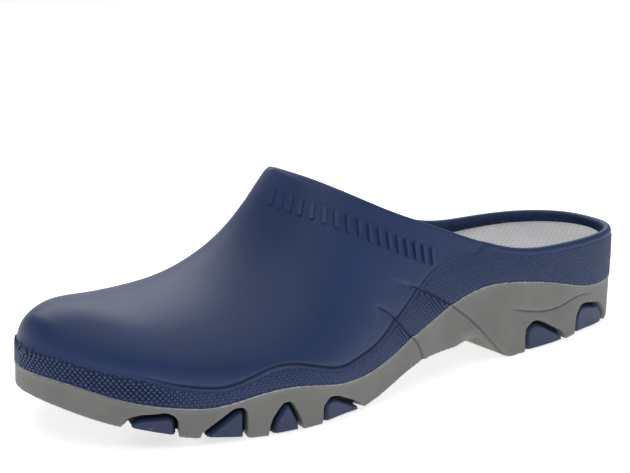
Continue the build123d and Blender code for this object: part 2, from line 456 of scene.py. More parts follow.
def upperRelief(x, z):
    # how far the outside stands out from the plain form
    d = bandDistance(x, z)
    rise = upperLook["bandRise"] * (1 - soft(d, -upperLook["bandEdge"], 0)) * toeFade(x)
    groove = upperLook["grooveDepth"] * np.exp(-((d - 0.7) / upperLook["grooveWidth"]) ** 2) * soft(x, 122, 158)
    groove *= toeFade(x)
    return rise - groove - creaseDepth(x, z, "long") - creaseDepth(x, z, "short")


def buildUpper():
    columns, outer, inner = len(ringX), [], []
    for c in range(columns):
        x, endZ = ringX[c], form[c, -1, 2]
        low = float(partingAt(x)) - 0.4
        bandZ = min(float(bandTopAt(x)) + 3, low + 0.75 * (endZ - low))
        lower, lowerNormal = columnRange(c, low, bandZ, upperLook["rows"][0])
        higher, higherNormal = columnRange(c, bandZ, None, upperLook["rows"][1])
        points, normals = np.vstack([lower, higher[1:]]), np.vstack([lowerNormal, higherNormal[1:]])
        outer.append(points + normals * upperRelief(points[:, 0], points[:, 2])[:, None])
        points, normals = columnRange(c, float(footbedAt(x)), None, upperLook["innerRows"])
        corner = soft(float(footbedAt(x)) + upperLook["cupRadius"] - points[:, 2], 0, upperLook["cupRadius"])
        inset = clogShape["wall"] + (innerInset(x) - clogShape["wall"]) * corner ** 2
        inner.append(points - normals * inset[:, None])
    outer, inner = np.array(outer), np.array(inner)
    front = np.where(ringX >= throatX - 1e-6)[0]
    for grid in (outer, inner):
        grid[front, -1] = (grid[front, -1] + grid[mirrorColumn[front], -1]) / 2
    half = len(stations)
    lateralRear = list(range(throatIndex, -1, -1))
    medialRear = [columns - i for i in range(1, throatIndex + 1)]
    loop = lateralRear + medialRear
    for grid in (outer, inner):
        grid[loop, -1] = evened(grid[loop, -1], upperLook["edgeSmoothing"])
    edge = outer[loop, -1]
    edge[0] = edge[-1] = (edge[0] + edge[-1]) / 2
    heading = np.gradient(edge, axis=0)
    heading[0] = heading[-1] = edge[1] - edge[-2]
    normal = formNormal[loop, -1]
    normal[0] = normal[-1] = normal[0] + normal[-1]
    normal -= heading * ((normal * heading).sum(1) / (heading * heading).sum(1))[:, None]
    away = unit(np.cross(heading, unit(normal)))
    climb = form[loop, -1] - form[loop, -8]
    away *= np.sign((away * climb).sum(1))[:, None]
    for _ in range(25):
        away[1:-1] = (away[:-2] + 2 * away[1:-1] + away[2:]) / 4
        away[0] = away[-1] = away[1] + away[-2]
        away = unit(away)
    innerEdge = inner[loop, -1]
    centre, reach = (edge + innerEdge) / 2, (edge - innerEdge) / 2
    turns = np.linspace(0, pi, upperLook["rimSteps"])
    radius = np.linalg.norm(reach, axis=1)[:, None]
    rim = np.stack([centre + np.cos(t) * reach + np.sin(t) * radius * away for t in turns], 1)

    work = Patchwork()
    work.grid(closedRing(outer))
    work.grid(rim)
    work.grid(closedRing(inner))
    bottom = outer[:, 0]
    ledge = np.column_stack([ringAt - ringOut * upperLook["ledgeInset"], bottom[:, 2]])
    floorZ = footbedAt(ringX) - clogShape["floorHeight"]
    under = np.column_stack([ringAt - ringOut * upperLook["floorInset"], floorZ])
    work.grid(closedRing(np.stack([bottom, ledge, under], 1)))
    lateral, medial = np.arange(half), (columns - np.arange(half)) % columns
    work.grid(across(under[lateral], under[medial], 8))
    work.grid(across(inner[lateral, 0], inner[medial, 0], 8))
    return work.build("upperShell")


upperShell = buildUpper()
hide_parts("upper")
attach(upperShell, "clog")
print("upper built")


soleLook = {
    "voxel": 0.55,
    "sideStand": 0.5,
    "lipStand": 0.55,
    "lipWidth": 1.0,
    "breastHollow": 7.0,
    "windowDepth": 18.0,
    "windowCorner": 2.0,
    "treadPitch": 9.0,
    "treadDepth": 0.9,
    "triangles": 190000,
}
windows = {
    "heel_1": [(15.5, -3), (16, 5), (21, 10.5), (33, 13), (38, 12.6), (41, 8), (41, -3)],
    "heel_2": [(49, -3), (50, 3), (66, 11.8), (71.5, 12.8), (76.3, 9.5), (76.3, -3)],
    "forefoot_1": [(173, -3), (175, 2.8), (190, 9.9), (194.5, 10.3), (197, 7.5), (197, -3)],
    "forefoot_2": [(205.5, -3), (207.2, 4.6), (211.5, 12.4), (215.2, 12.6), (219.8, 6.2), (221.3, -3)],
    "forefoot_3": [(229, -3), (229, 11.2), (231, 13.2), (234, 13), (246, 4.8), (247, -3)],
    "forefoot_4": [(253.5, -3), (253.5, 11.2), (256.5, 13.9), (266, 13.3), (270.5, 11.4), (271, -3)],
}


def breastHollow(x, z):
    # the side falls back ahead of the heel block, under the long crease
    distance, _ = signedDistance(x, z, creases["long"])
    near = soft(distance, 0, 2.2) * (1 - soft(x, 104, 121))
    return soleLook["breastHollow"] * near * soft(17 - z, 0, 9)


def sidePoint(side, x, z, depth):
    # a place on the sole's side, or depth millimetres inside it
    x, z = np.asarray(x, float), np.asarray(z, float)
    at, out = onSide(side, x)
    inset = wallLean(x, z, springAt(x), crownAt(x)) + depth
    return np.stack([at[..., 0] - out[..., 0] * inset, at[..., 1] - out[..., 1] * inset, z], -1)


def shrunkPolygon(points, amount):
    # a convex outline, clockwise from its rear foot, drawn in on every edge but the ground
    p = np.array(points, float)
    lines = []
    for a, b in zip(p, p[1:]):
        along = (b - a) / np.linalg.norm(b - a)
        lines.append((a + np.array([along[1], -along[0]]) * amount, along))
    corners = [lines[0][0]]
    for (a, u), (b, v) in zip(lines, lines[1:]):
        t = ((b[0] - a[0]) * v[1] - (b[1] - a[1]) * v[0]) / (u[0] * v[1] - u[1] * v[0])
        corners.append(a + u * t)
    end, along = lines[-1]
    corners.append(end + along * np.linalg.norm(p[-1] - p[-2]))
    return np.array(corners)


def windowOutline(points, shrink, corner, bottomGap=0.0, pathCount=56, footCount=14):
    # rounded outline standing on the ground curve
    p = shrunkPolygon(points, shrink)
    path = [p[0]]
    for a, b, c in zip(p, p[1:], p[2:]):
        before, after = np.linalg.norm(b - a), np.linalg.norm(c - b)
        reach = min(corner, 0.45 * before, 0.45 * after)
        start, end = b + (a - b) / before * reach, b + (c - b) / after * reach
        for t in np.linspace(0, 1, 7):
            path.append((1 - t) ** 2 * start + 2 * t * (1 - t) * b + t * t * end)
    path.append(p[-1])
    path = resampled(np.array(path), 800)
    path = resampled(path[path[:, 1] > groundAt(path[:, 0]) + bottomGap], pathCount)
    footX = np.linspace(path[-1, 0], path[0, 0], footCount + 2)[1:-1]
    return np.vstack([path, np.stack([footX, groundAt(footX) + bottomGap], 1)])


def ringStack(name, side, rings):
    # a closed solid from outlines at growing depth inside the sole's side
    verts, faces = [], []
    count = len(rings[0][0])
    for outline, depth in rings:
        verts.extend(sidePoint(side, outline[:, 0], outline[:, 1], depth))
    for r in range(len(rings) - 1):
        for i in range(count):
            j, low, high = (i + 1) % count, r * count, (r + 1) * count
            faces.append((low + i, low + j, high + j, high + i))
    for r in (0, len(rings) - 1):
        middle = rings[r][0].mean(0)
        verts.append(sidePoint(side, middle[0], middle[1], rings[r][1]))
        for i in range(count):
            faces.append((r * count + i, r * count + (i + 1) % count, len(verts) - 1))
    return meshObject(name, toFrame(verts), faces)


def windowCutter(name, side, points):
    outline = windowOutline(points, 0, soleLook["windowCorner"], -2.5)
    depths = (-4, 0, 3, 8, soleLook["windowDepth"])
    return ringStack("cutter_" + name, side, [(outline, d) for d in depths])


def evaluated(item):
    # the object's mesh with its modifiers applied
    graph = bpy.context.evaluated_depsgraph_get()
    return bpy.data.meshes.new_from_object(item.evaluated_get(graph))


def applyModifiers(item):
    mesh = evaluated(item)
    old = item.data
    item.modifiers.clear()
    item.data = mesh
    bpy.data.meshes.remove(old)


def relax(item, weights):
    # smooths a dense mesh; a negative weight gives back the volume that the one before took
    mesh = item.data
    count = len(mesh.vertices)
    co = np.empty(count * 3)
    mesh.vertices.foreach_get("co", co)
    co = co.reshape(-1, 3)
    pairs = np.empty(len(mesh.edges) * 2, int)
    mesh.edges.foreach_get("vertices", pairs)
    a, b = pairs.reshape(-1, 2).T
    degree = np.bincount(a, minlength=count) + np.bincount(b, minlength=count)
    for weight in weights:
        mean = np.stack([np.bincount(a, co[b, i], count) + np.bincount(b, co[a, i], count) for i in range(3)], 1)
        co = co + weight * (mean / degree[:, None] - co)
    mesh.vertices.foreach_set("co", co.ravel())
    mesh.update()
    return co


def treadRelief(x, y):
    # shallow chevron channels under the forefoot and the heel
    wave = (x + 0.45 * np.abs(y + 2)) / soleLook["treadPitch"] % 1
    channel = np.exp(-((wave - 0.5) / 0.13) ** 2)
    where = np.maximum(soft(x, 178, 186) * (1 - soft(x, 258, 268)), soft(x, 22, 28) * (1 - soft(x, 76, 82)))
    inside = 1 - soft(np.abs(y + 2), 20, 24) * (x < 100) - soft(np.abs(y + 2), 26, 30) * (x >= 100)
    return soleLook["treadDepth"] * channel * where * np.clip(inside, 0, 1)


def buildSole():
    work = Patchwork()
    pick = np.arange(0, len(stations) - 1, 2)
    x = np.r_[stations[pick], stations[-1]]
    grids = []
    for side in (0, 1):
        rows = []
        low, high = groundAt(x), partingAt(x)
        for share in np.linspace(0, 1, 26):
            z = low + (high - low) * share
            stand = soleLook["sideStand"] + soleLook["lipStand"] * np.exp(-((high - z) / soleLook["lipWidth"]) ** 2)
            rows.append(sidePoint(side, x, z, breastHollow(x, z) - stand))
        for inset, z in ((2.2, high), (5.7, high), (6.1, footbedAt(x) - clogShape["floorHeight"] - 0.2)):
            row = sidePoint(side, x, high, inset)
            row[:, 2] = z
            rows.append(row)
        grids.append(np.stack(rows, 1))
        work.grid(grids[-1])
    work.grid(across(grids[0][:, 0], grids[1][:, 0], 20))
    work.grid(across(grids[0][:, -1], grids[1][:, -1], 20))
    sole = work.build("soleCup")

    cutters = [windowCutter(f"{name}_{side}", side, points)
               for side in (0, 1) for name, points in windows.items()]
    group = bpy.data.collections.new("cutters")
    bpy.context.scene.collection.children.link(group)
    for cutter in cutters:
        bpy.context.collection.objects.unlink(cutter)
        group.objects.link(cutter)
    cut = sole.modifiers.new("windows", "BOOLEAN")
    cut.operation, cut.operand_type, cut.solver = "DIFFERENCE", "COLLECTION", "EXACT"
    cut.collection = group
    applyModifiers(sole)
    for cutter in cutters:
        bpy.data.objects.remove(cutter)
    bpy.data.collections.remove(group)
    print("sole cut:", len(sole.data.polygons), "faces")

    remesh = sole.modifiers.new("remesh", "REMESH")
    remesh.mode = "VOXEL"
    remesh.voxel_size = soleLook["voxel"] * mm * 1
    applyModifiers(sole)
    co = relax(sole, [0.5, -0.52] * 4 + [0.5] * 2)
    places = co / mm + heelToMiddle
    _, depth, lean, outward = sideDepth(places)
    depth -= lean
    x, _, z = places.T
    wall = (depth < 1.4) & (z < partingAt(x) - 0.3)
    relief = np.zeros(len(places))
    for name in creases:
        relief[wall] = np.maximum(relief[wall], creaseDepth(x[wall], z[wall], name))
    co[:, :2] -= outward * relief[:, None] * mm
    # painted highlight: distance from the lip, for a pale line where the ledge catches the light
    mark(sole, "lipHighlightLine", np.where(depth < 2.5, z - partingAt(x) + 0.15, 30.0))
    # painted shade: distances for the dark lines along the sole's folds
    for name in creases:
        mark(sole, name + "Fold", np.where(depth < 2.5, foldGap(x, z, name), 30.0))
    under = (np.abs(z - groundAt(x)) < 0.35) & (depth > 2.5)
    co[under, 2] += treadRelief(*places[under, :2].T) * mm
    sole.data.vertices.foreach_set("co", co.ravel())
    triangles = sum(len(p.vertices) - 2 for p in sole.data.polygons)
    if triangles > soleLook["triangles"]:
        thin = sole.modifiers.new("thin", "DECIMATE")
        thin.ratio = soleLook["triangles"] / triangles
        applyModifiers(sole)
    sole.data.polygons.foreach_set("use_smooth", [True] * len(sole.data.polygons))
    print("sole:", triangles, "triangles thinned to", len(sole.data.polygons))
    return sole


soleCup = buildSole()
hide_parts("sole")
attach(soleCup, "clog")


lugLook = {"play": 1.9, "back": 4.0, "bevel": 1.15, "reach": 17.6, "notch": 1.5, "shift": -0.6}


def buildLug(name, side, points):
    play, bevel = lugLook["play"], lugLook["bevel"]
    back = lugLook["back"]
    layers = [(play + bevel + 0.2, 0.42), (play + bevel, 0.42), (play + bevel - 0.3, 0.5), (play + 0.45, 1.35),
              (play + 0.12, 1.62), (play, 2.0), (play - 0.1, back - 0.4), (play - 0.4, back - 0.1),
              (play - 0.8, back), (-0.2, back + 0.15), (-0.2, lugLook["reach"])]
    rings = []
    for shrink, depth in layers:
        gap = lugLook["notch"] if shrink < play - 0.5 else 0.05 + max(0.0, shrink - play) * 0.25
        outline = windowOutline(points, shrink, 1.6, gap)
        outline[:, 0] += lugLook["shift"] if shrink > play - 0.5 else 0
        rings.append((outline, depth))
    lug = ringStack(name, side, rings)
    places = vertexPlaces(lug)
    at, out = onSide(side, places[:, 0])
    sunk = ((at - places[:, :2]) * out).sum(1) - leanInAt(places[:, 0]) * np.clip(1 - places[:, 2] / 27, 0, 1)
    # painted shade: the lug is darkened the deeper it sits in its window
    mark(lug, "recessShade", soft(sunk, 1.5, back))
    return lug


lugs = []
for sideIndex, sideName in enumerate(("lateral", "medial")):
    for windowName, points in windows.items():
        lug = buildLug(f"lug_{windowName}_{sideName}_tread", sideIndex, points)
        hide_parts(f"lug_{windowName}_{sideName}")
        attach(lug, "clog")
        lugs.append(lug)
print("lugs built:", len(lugs))


insoleLook = {
    "gap": 0.9,
    "foamTop": 3.0,
    "coverTop": 4.0,
    "edgeRound": 0.7,
    "wave": 0.22,
    "dotSteps": ((-1.85, 1.33), (1.55, 4.1)),
    "dotRadius": 0.42,
    "fibres": 520,
    "fibreLength": (0.35, 1.3),
    "seed": 11,
}


def insolePlan(extra):
    # the cushion's outline, drawn in from the wall, as lateral and medial edges by station
    edges = []
    for side in (0, 1):
        at, out = onSide(side, stations)
        inset = innerInset(stations) + insoleLook["gap"] + extra
        edges.append(at - out * inset[:, None])
    return edges


def insoleHeight(points, rise):
    x, y = points[..., 0], points[..., 1]
    wave = insoleLook["wave"] * np.sin(x / 17 + 0.6) * np.sin(y / 13 + x / 41)
    return footbedAt(x) + rise + wave * (rise > 0.5)


def buildPad(name, profile, steps):
    # profile: inset and height pairs from the underside's edge to the top's edge
    work = Patchwork()
    rows = []
    for extra, rise in profile:
        rows.append([np.column_stack([edge, insoleHeight(edge, rise)]) for edge in insolePlan(extra)])
    for side in (0, 1):
        work.grid(np.stack([row[side] for row in rows], 1))
    for row, rise in ((rows[0], profile[0][1]), (rows[-1], profile[-1][1])):
        strip = across(row[0], row[1], steps)
        strip[..., 2] = insoleHeight(strip, rise)
        work.grid(strip)
    return work.build(name)


foamTop = insoleLook["foamTop"]
foamProfile = [(0.5, 0.06), (0.15, 0.3), (0, 0.9), (0, 2.2), (0.2, 2.8), (0.5, foamTop)]
coverProfile = [(0.3, foamTop + 0.02), (0, foamTop + 0.25), (-0.05, foamTop + 0.55), (0.15, foamTop + 0.85),
                (insoleLook["edgeRound"], insoleLook["coverTop"])]
insoleFoam, insoleCover = buildPad("insoleFoam", foamProfile, 14), buildPad("insoleCover", coverProfile, 56)
for piece, solid in ((insoleFoam, "insole_foam"), (insoleCover, "insole_cover")):
    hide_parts(solid)
    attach(piece, "insole")


def feed(tree, socket, value):
    # links another node's output, or sets a plain value
    if isinstance(value, bpy.types.NodeSocket):
        tree.links.new(value, socket)
    else:
        socket.default_value = value


def node(tree, kind, settings=None, inputs=None):
    made = tree.nodes.new(kind)
    made.location = (len(tree.nodes) * 170, -(len(tree.nodes) % 3) * 160)
    for key, value in (settings or {}).items():
        setattr(made, key, value)
    for key, value in (inputs or {}).items():
        feed(tree, made.inputs[key], value)
    return made


def calculate(tree, operation, first, second=None, clamp=False):
    values = {0: first} if second is None else {0: first, 1: second}
    return node(tree, "ShaderNodeMath", {"operation": operation, "use_clamp": clamp}, values).outputs["Value"]


def times(tree, first, second):
    return calculate(tree, "MULTIPLY", first, second)


def ranged(tree, value, fromLow, fromHigh, low, high, kind="LINEAR"):
    return node(tree, "ShaderNodeMapRange", {"clamp": True, "interpolation_type": kind}, {
        "Value": value, "From Min": fromLow, "From Max": fromHigh, "To Min": low, "To Max": high}).outputs["Result"]


def noise(tree, vector, scale, detail, roughness=0.5):
    return node(tree, "ShaderNodeTexNoise", None, {
        "Vector": vector, "Scale": scale, "Detail": detail, "Roughness": roughness}).outputs["Fac"]


def newGroup(name, kind, incoming, outgoing):
    tree = bpy.data.node_groups.new(name, kind)
    for label, socketKind, value in incoming:
        made = tree.interface.new_socket(name=label, in_out="INPUT", socket_type=socketKind)
        if value is not None:
            made.default_value = value
    for label, socketKind in outgoing:
        tree.interface.new_socket(name=label, in_out="OUTPUT", socket_type=socketKind)
    return tree, node(tree, "NodeGroupInput"), node(tree, "NodeGroupOutput")


def scatterTree():
    # one shape placed on every carrier point, turned to face outwards
    tree, start, end = newGroup("scatter", "GeometryNodeTree", [
        ("Carriers", "NodeSocketGeometry", None), ("Shape", "NodeSocketObject", None),
        ("Size low", "NodeSocketFloat", 1.0), ("Size high", "NodeSocketFloat", 1.0),
        ("Seed", "NodeSocketInt", 0), ("Material", "NodeSocketMaterial", None)],
        [("Geometry", "NodeSocketGeometry")])
    facing = node(tree, "GeometryNodeInputNamedAttribute", {"data_type": "FLOAT_VECTOR"}, {"Name": "facing"})
    along = node(tree, "GeometryNodeInputNamedAttribute", {"data_type": "FLOAT_VECTOR"}, {"Name": "along"})
    upright = node(tree, "FunctionNodeAlignRotationToVector", {"axis": "Z"}, {"Vector": facing.outputs["Attribute"]})
    turned = node(tree, "FunctionNodeAlignRotationToVector", {"axis": "X", "pivot_axis": "Z"},
                  {"Rotation": upright.outputs["Rotation"], "Vector": along.outputs["Attribute"]})
    size = node(tree, "FunctionNodeRandomValue", {"data_type": "FLOAT"})
    tree.links.new(start.outputs["Size low"], size.inputs[2])
    tree.links.new(start.outputs["Size high"], size.inputs[3])
    tree.links.new(start.outputs["Seed"], size.inputs["Seed"])
    shape = node(tree, "GeometryNodeObjectInfo", {"transform_space": "ORIGINAL"}, {"Object": start.outputs["Shape"]})
    placed = node(tree, "GeometryNodeInstanceOnPoints", None, {
        "Points": start.outputs["Carriers"], "Instance": shape.outputs["Geometry"],
        "Rotation": turned.outputs["Rotation"], "Scale": size.outputs[1]})
    real = node(tree, "GeometryNodeRealizeInstances", None, {"Geometry": placed.outputs["Instances"]})
    painted = node(tree, "GeometryNodeSetMaterial", None, {
        "Geometry": real.outputs["Geometry"], "Material": start.outputs["Material"]})
    tree.links.new(painted.outputs["Geometry"], end.inputs["Geometry"])
    return tree


scatter = scatterTree()


def scattered(name, carriers, shape, material, low=1.0, high=1.0, seed=1):
    # carriers: places, facings and headings in the clog's millimetres; the result is a plain mesh
    places, facings, headings = (np.array(a, float) for a in carriers)
    mesh = bpy.data.meshes.new(name + "Carriers")
    mesh.from_pydata([tuple(p) for p in toFrame(places)], [], [])
    for label, values in (("facing", facings), ("along", headings)):
        mesh.attributes.new(label, "FLOAT_VECTOR", "POINT").data.foreach_set("vector", values.ravel())
    holder = bpy.data.objects.new(name, mesh)
    bpy.context.collection.objects.link(holder)
    live = holder.modifiers.new("scatter", "NODES")
    live.node_group = scatter
    wanted = {"Shape": shape, "Size low": low, "Size high": high, "Seed": seed, "Material": material}
    for item in scatter.interface.items_tree:
        if item.item_type == "SOCKET" and item.in_out == "INPUT" and item.name in wanted:
            live[item.identifier] = wanted[item.name]
    holder.update_tag()
    bpy.context.view_layer.update()
    applyModifiers(holder)
    bpy.data.objects.remove(shape)
    if material.name not in holder.data.materials:
        holder.data.materials.append(material)
    print(name, "copies", len(places), "faces", len(holder.data.polygons))
    return holder


def newEffect(name, incoming, outgoing):
    # a shader group of numbers; an input without a value is a vector
    entries = [(label, "NodeSocketVector" if value is None else "NodeSocketFloat", value)
               for label, value in incoming.items()]
    tree, start, end = newGroup(name, "ShaderNodeTree", entries, [(label, "NodeSocketFloat") for label in outgoing])
    return tree, start.outputs, end.inputs


def grainGroup():
    # fine moulded grain and slow cloudy tone, in millimetre sizes
    tree, given, out = newEffect("grain", {"Vector": None, "Fine": 2500.0, "Slow": 40.0}, ("Height", "Tone"))
    feed(tree, out["Height"], noise(tree, given["Vector"], given["Fine"], 2.0, 0.6))
    feed(tree, out["Tone"], noise(tree, given["Vector"], given["Slow"], 3.0, 0.55))
    return tree


def wearGroup():
    # worn, slightly polished edges
    tree, given, out = newEffect("edgeWear", {"Vector": None, "Amount": 0.5}, ("Mask",))
    sharp = ranged(tree, node(tree, "ShaderNodeNewGeometry").outputs["Pointiness"], 0.515, 0.60, 0.0, 1.0)
    mixed = times(tree, sharp, noise(tree, given["Vector"], 160.0, 3.0))
    feed(tree, out["Mask"], calculate(tree, "MULTIPLY", mixed, given["Amount"], clamp=True))
    return tree


def dustGroup():
    # a few pale specks
    tree, given, out = newEffect("dust", {"Vector": None, "Scale": 90.0, "Rarity": 0.97}, ("Mask",))
    cells = node(tree, "ShaderNodeTexVoronoi", {"feature": "F1"}, {
        "Vector": given["Vector"], "Scale": given["Scale"]})
    small = calculate(tree, "LESS_THAN", cells.outputs["Distance"], 0.05)
    chance = node(tree, "ShaderNodeSeparateColor", None, {"Color": cells.outputs["Color"]}).outputs[0]
    feed(tree, out["Mask"], times(tree, small, calculate(tree, "GREATER_THAN", chance, given["Rarity"])))
    return tree


def hatchGroup():
    # crossing diagonal grooves from two distances along the surface, in millimetres
    tree, given, out = newEffect("hatch", {"Along": 0.0, "Up": 0.0, "Pitch": 2.6}, ("Groove",))
    grooves = []
    for operation in ("ADD", "SUBTRACT"):
        turns = calculate(tree, "DIVIDE", calculate(tree, operation, given["Along"], given["Up"]), given["Pitch"])
        phase = calculate(tree, "SUBTRACT", calculate(tree, "FRACT", turns), 0.5)
        grooves.append(ranged(tree, calculate(tree, "ABSOLUTE", phase), 0.30, 0.5, 0.0, 1.0, "SMOOTHSTEP"))
    feed(tree, out["Groove"], calculate(tree, "MAXIMUM", *grooves))
    return tree


def foldGroup():
    # thin lines where a signed distance in millimetres passes nought, for painted shade in folds and grooves and
    # painted highlights on the band's ridge and the sole's lip
    away = {"First": 30.0, "Second": 30.0, "Third": 30.0}
    tree, given, out = newEffect("fold", {**away, "Width": 0.5}, ("Line",))
    lines = [ranged(tree, calculate(tree, "ABSOLUTE", given[label]), 0.0, given["Width"], 1.0, 0.0, "SMOOTHSTEP")
             for label in away]
    feed(tree, out["Line"], calculate(tree, "MAXIMUM", calculate(tree, "MAXIMUM", lines[0], lines[1]), lines[2]))
    return tree


def weaveGroup():
    # short-pile cloth: tiny crossing ribs and a faint mottle
    tree, given, out = newEffect("weave", {"Vector": None, "Scale": 700.0}, ("Height", "Tone"))
    ribs = [node(tree, "ShaderNodeTexWave", {"wave_type": "BANDS", "bands_direction": direction}, {
        "Vector": given["Vector"], "Scale": given["Scale"], "Distortion": 1.5, "Detail": 1.0}).outputs["Fac"]
        for direction in ("X", "Y")]
    feed(tree, out["Height"], times(tree, *ribs))
    feed(tree, out["Tone"], noise(tree, given["Vector"], 28.0, 3.0))
    return tree


effects = {"grain": grainGroup(), "wear": wearGroup(), "dust": dustGroup(), "hatch": hatchGroup(),
           "weave": weaveGroup(), "fold": foldGroup()}


def linear(colour, share=1.0):
    # a screen colour of 0 to 255, lightened or darkened, as scene values
    shares = [v * share / 255 for v in colour]
    return tuple(v / 12.92 if v <= 10 / 255 else ((v + 0.055) / 1.055) ** 2.4 for v in shares) + (1.0,)


def effect(tree, name, **inputs):
    return node(tree, "ShaderNodeGroup", {"node_tree": effects[name]}, inputs).outputs


def attribute(tree, name):
    return node(tree, "ShaderNodeAttribute", {"attribute_name": name}).outputs["Fac"]


def mixColour(tree, share, first, second):
    return node(tree, "ShaderNodeMix", {"data_type": "RGBA"}, {0: share, 6: first, 7: second}).outputs[2]


def startMaterial(name):
    made = bpy.data.materials.new(name)
    made.use_nodes = True
    tree = made.node_tree
    tree.nodes.clear()
    where = node(tree, "ShaderNodeTexCoord").outputs["Object"]
    surface = node(tree, "ShaderNodeBsdfPrincipled")
    out = node(tree, "ShaderNodeOutputMaterial")
    tree.links.new(surface.outputs["BSDF"], out.inputs["Surface"])
    return made, tree, where, surface


def bump(tree, height, distance, **inputs):
    return node(tree, "ShaderNodeBump", None, {
        "Height": height, "Distance": distance * mm, **inputs}).outputs["Normal"]


def finish(tree, surface, inputs):
    for label, value in inputs.items():
        feed(tree, surface.inputs[label], value)


rubberLook = {
    "navy": (37, 57, 100),
    "bandBlue": (44, 64, 106),
    # hatchShadeBlue is painted shade for the band's hatch grooves
    "hatchShadeBlue": (33, 50, 90),
    "lugBlue": (40, 58, 98),
    "grey": (128, 128, 125),
    "greyDark": (116, 116, 113),
    "satin": 0.40,
    "bandRough": 0.55,
    "greyRough": 0.62,
    "hatchPitch": 2.2,
}


def upperMaterial():
    made, tree, where, surface = startMaterial("upperRubber")
    band = attribute(tree, "bandMask")
    grain = effect(tree, "grain", Vector=where, Fine=2200.0, Slow=30.0)
    hatch = effect(tree, "hatch", Along=attribute(tree, "bandAlong"), Up=attribute(tree, "bandUp"),
                   Pitch=rubberLook["hatchPitch"])["Groove"]
    wear = effect(tree, "wear", Vector=where, Amount=0.5)["Mask"]
    dust = effect(tree, "dust", Vector=where, Scale=150.0, Rarity=0.985)["Mask"]
    # painted shade: dark lines along the long and short folds and the band's groove
    groove = effect(tree, "fold", First=attribute(tree, "longFold"), Second=attribute(tree, "shortFold"),
                    Third=attribute(tree, "bandGrooveShade"), Width=0.5)["Line"]
    # painted highlight: a pale line along the ridge at the band's upper edge
    ridge = effect(tree, "fold", First=attribute(tree, "bandRidgeHighlight"), Width=0.4)["Line"]
    navy = mixColour(tree, ranged(tree, grain["Tone"], 0.3, 0.7, 0.0, 0.35), linear(rubberLook["navy"]),
                     linear(rubberLook["navy"], 1.14))
    # painted shade: the band's hatch grooves are coloured darker, besides their bump
    knurlWithShade = mixColour(tree, hatch, linear(rubberLook["bandBlue"]), linear(rubberLook["hatchShadeBlue"]))
    colour = mixColour(tree, band, navy, knurlWithShade)
    # tints: a painted highlight on the band's ridge, painted shade in the folds and groove, and pale worn edges
    for line, share, tint in ((ridge, 0.3, (112, 126, 156)), (groove, 0.85, (12, 18, 38)),
                              (wear, 0.25, (120, 130, 150))):
        colour = mixColour(tree, times(tree, line, share), colour, linear(tint))
    rough = ranged(tree, band, 0, 1, rubberLook["satin"], rubberLook["bandRough"])
    carved = times(tree, calculate(tree, "MAXIMUM", times(tree, hatch, band), groove), -1.0)
    finish(tree, surface, {
        "Base Color": mixColour(tree, dust, colour, linear((190, 195, 205))),
        "Roughness": calculate(tree, "ADD", rough, times(tree, grain["Height"], 0.12)),
        "Normal": bump(tree, carved, 0.25, Normal=bump(tree, grain["Height"], 0.05)),
        "Specular IOR Level": 0.38})
    return made


def plainRubber(name, colour, darker, rough, specks, folded=False, paintRecessShade=False):
    made, tree, where, surface = startMaterial(name)
    grain = effect(tree, "grain", Vector=where, Fine=1800.0, Slow=45.0)
    wear = effect(tree, "wear", Vector=where, Amount=0.6)["Mask"]
    dust = effect(tree, "dust", Vector=where, Scale=120.0, Rarity=specks)["Mask"]
    tone = mixColour(tree, ranged(tree, grain["Tone"], 0.3, 0.7, 0.0, 1.0), darker, linear(colour))
    if folded:
        # painted shade: the fold lines are darkened
        line = effect(tree, "fold", First=attribute(tree, "longFold"), Second=attribute(tree, "shortFold"),
                      Third=attribute(tree, "heelFold"), Width=0.8)["Line"]
        tone = mixColour(tree, times(tree, line, 0.7), tone, linear(colour, 0.4))
        # painted highlight: a pale line along the lip under the upper
        lip = effect(tree, "fold", First=attribute(tree, "lipHighlightLine"), Width=0.6)["Line"]
        tone = mixColour(tree, times(tree, lip, 0.75), tone, linear((214, 216, 214)))
    # painted shade: darker towards the back of the lug's recess
    if paintRecessShade:
        tone = mixColour(tree, times(tree, attribute(tree, "recessShade"), 0.9), tone, linear(colour, 0.3))
    tone = mixColour(tree, times(tree, wear, 0.35), tone, linear((170, 172, 172)))
    finish(tree, surface, {
        "Base Color": mixColour(tree, dust, tone, linear((215, 215, 212))),
        "Roughness": ranged(tree, grain["Height"], 0.2, 0.8, rough - 0.05, rough + 0.07),
        "Normal": bump(tree, grain["Height"], 0.07)})
    return made


def textileMaterial():
    made, tree, where, surface = startMaterial("insoleTextile")
    weave = effect(tree, "weave", Vector=where, Scale=420.0)
    grain = effect(tree, "grain", Vector=where, Fine=1500.0, Slow=22.0)
    tone = mixColour(tree, ranged(tree, weave["Tone"], 0.35, 0.65, 0.0, 1.0), linear((198, 198, 202)),
                     linear((214, 213, 214)))
    for share, tint in ((ranged(tree, grain["Tone"], 0.56, 0.72, 0.0, 0.35), (196, 188, 168)),
                        (times(tree, weave["Height"], 0.18), (150, 153, 160)),
                        (times(tree, attribute(tree, "coverEdge"), 0.8), (236, 237, 240))):
        tone = mixColour(tree, share, tone, linear(tint))
    finish(tree, surface, {
        "Base Color": tone, "Roughness": 0.95, "Sheen Weight": 0.35, "Sheen Roughness": 0.5,
        "Normal": bump(tree, calculate(tree, "ADD", weave["Height"], grain["Height"]), 0.12)})
    return made


def plainFinish(name, colour, rough, share=1.0):
    made, tree, where, surface = startMaterial(name)
    grain = effect(tree, "grain", Vector=where, Fine=1600.0, Slow=60.0)
    finish(tree, surface, {
        "Base Color": mixColour(tree, ranged(tree, grain["Tone"], 0.3, 0.7, 0.0, 1.0), linear(colour, 0.93 * share),
                                linear(colour, share)),
        "Roughness": rough, "Normal": bump(tree, grain["Height"], 0.05)})
    return made


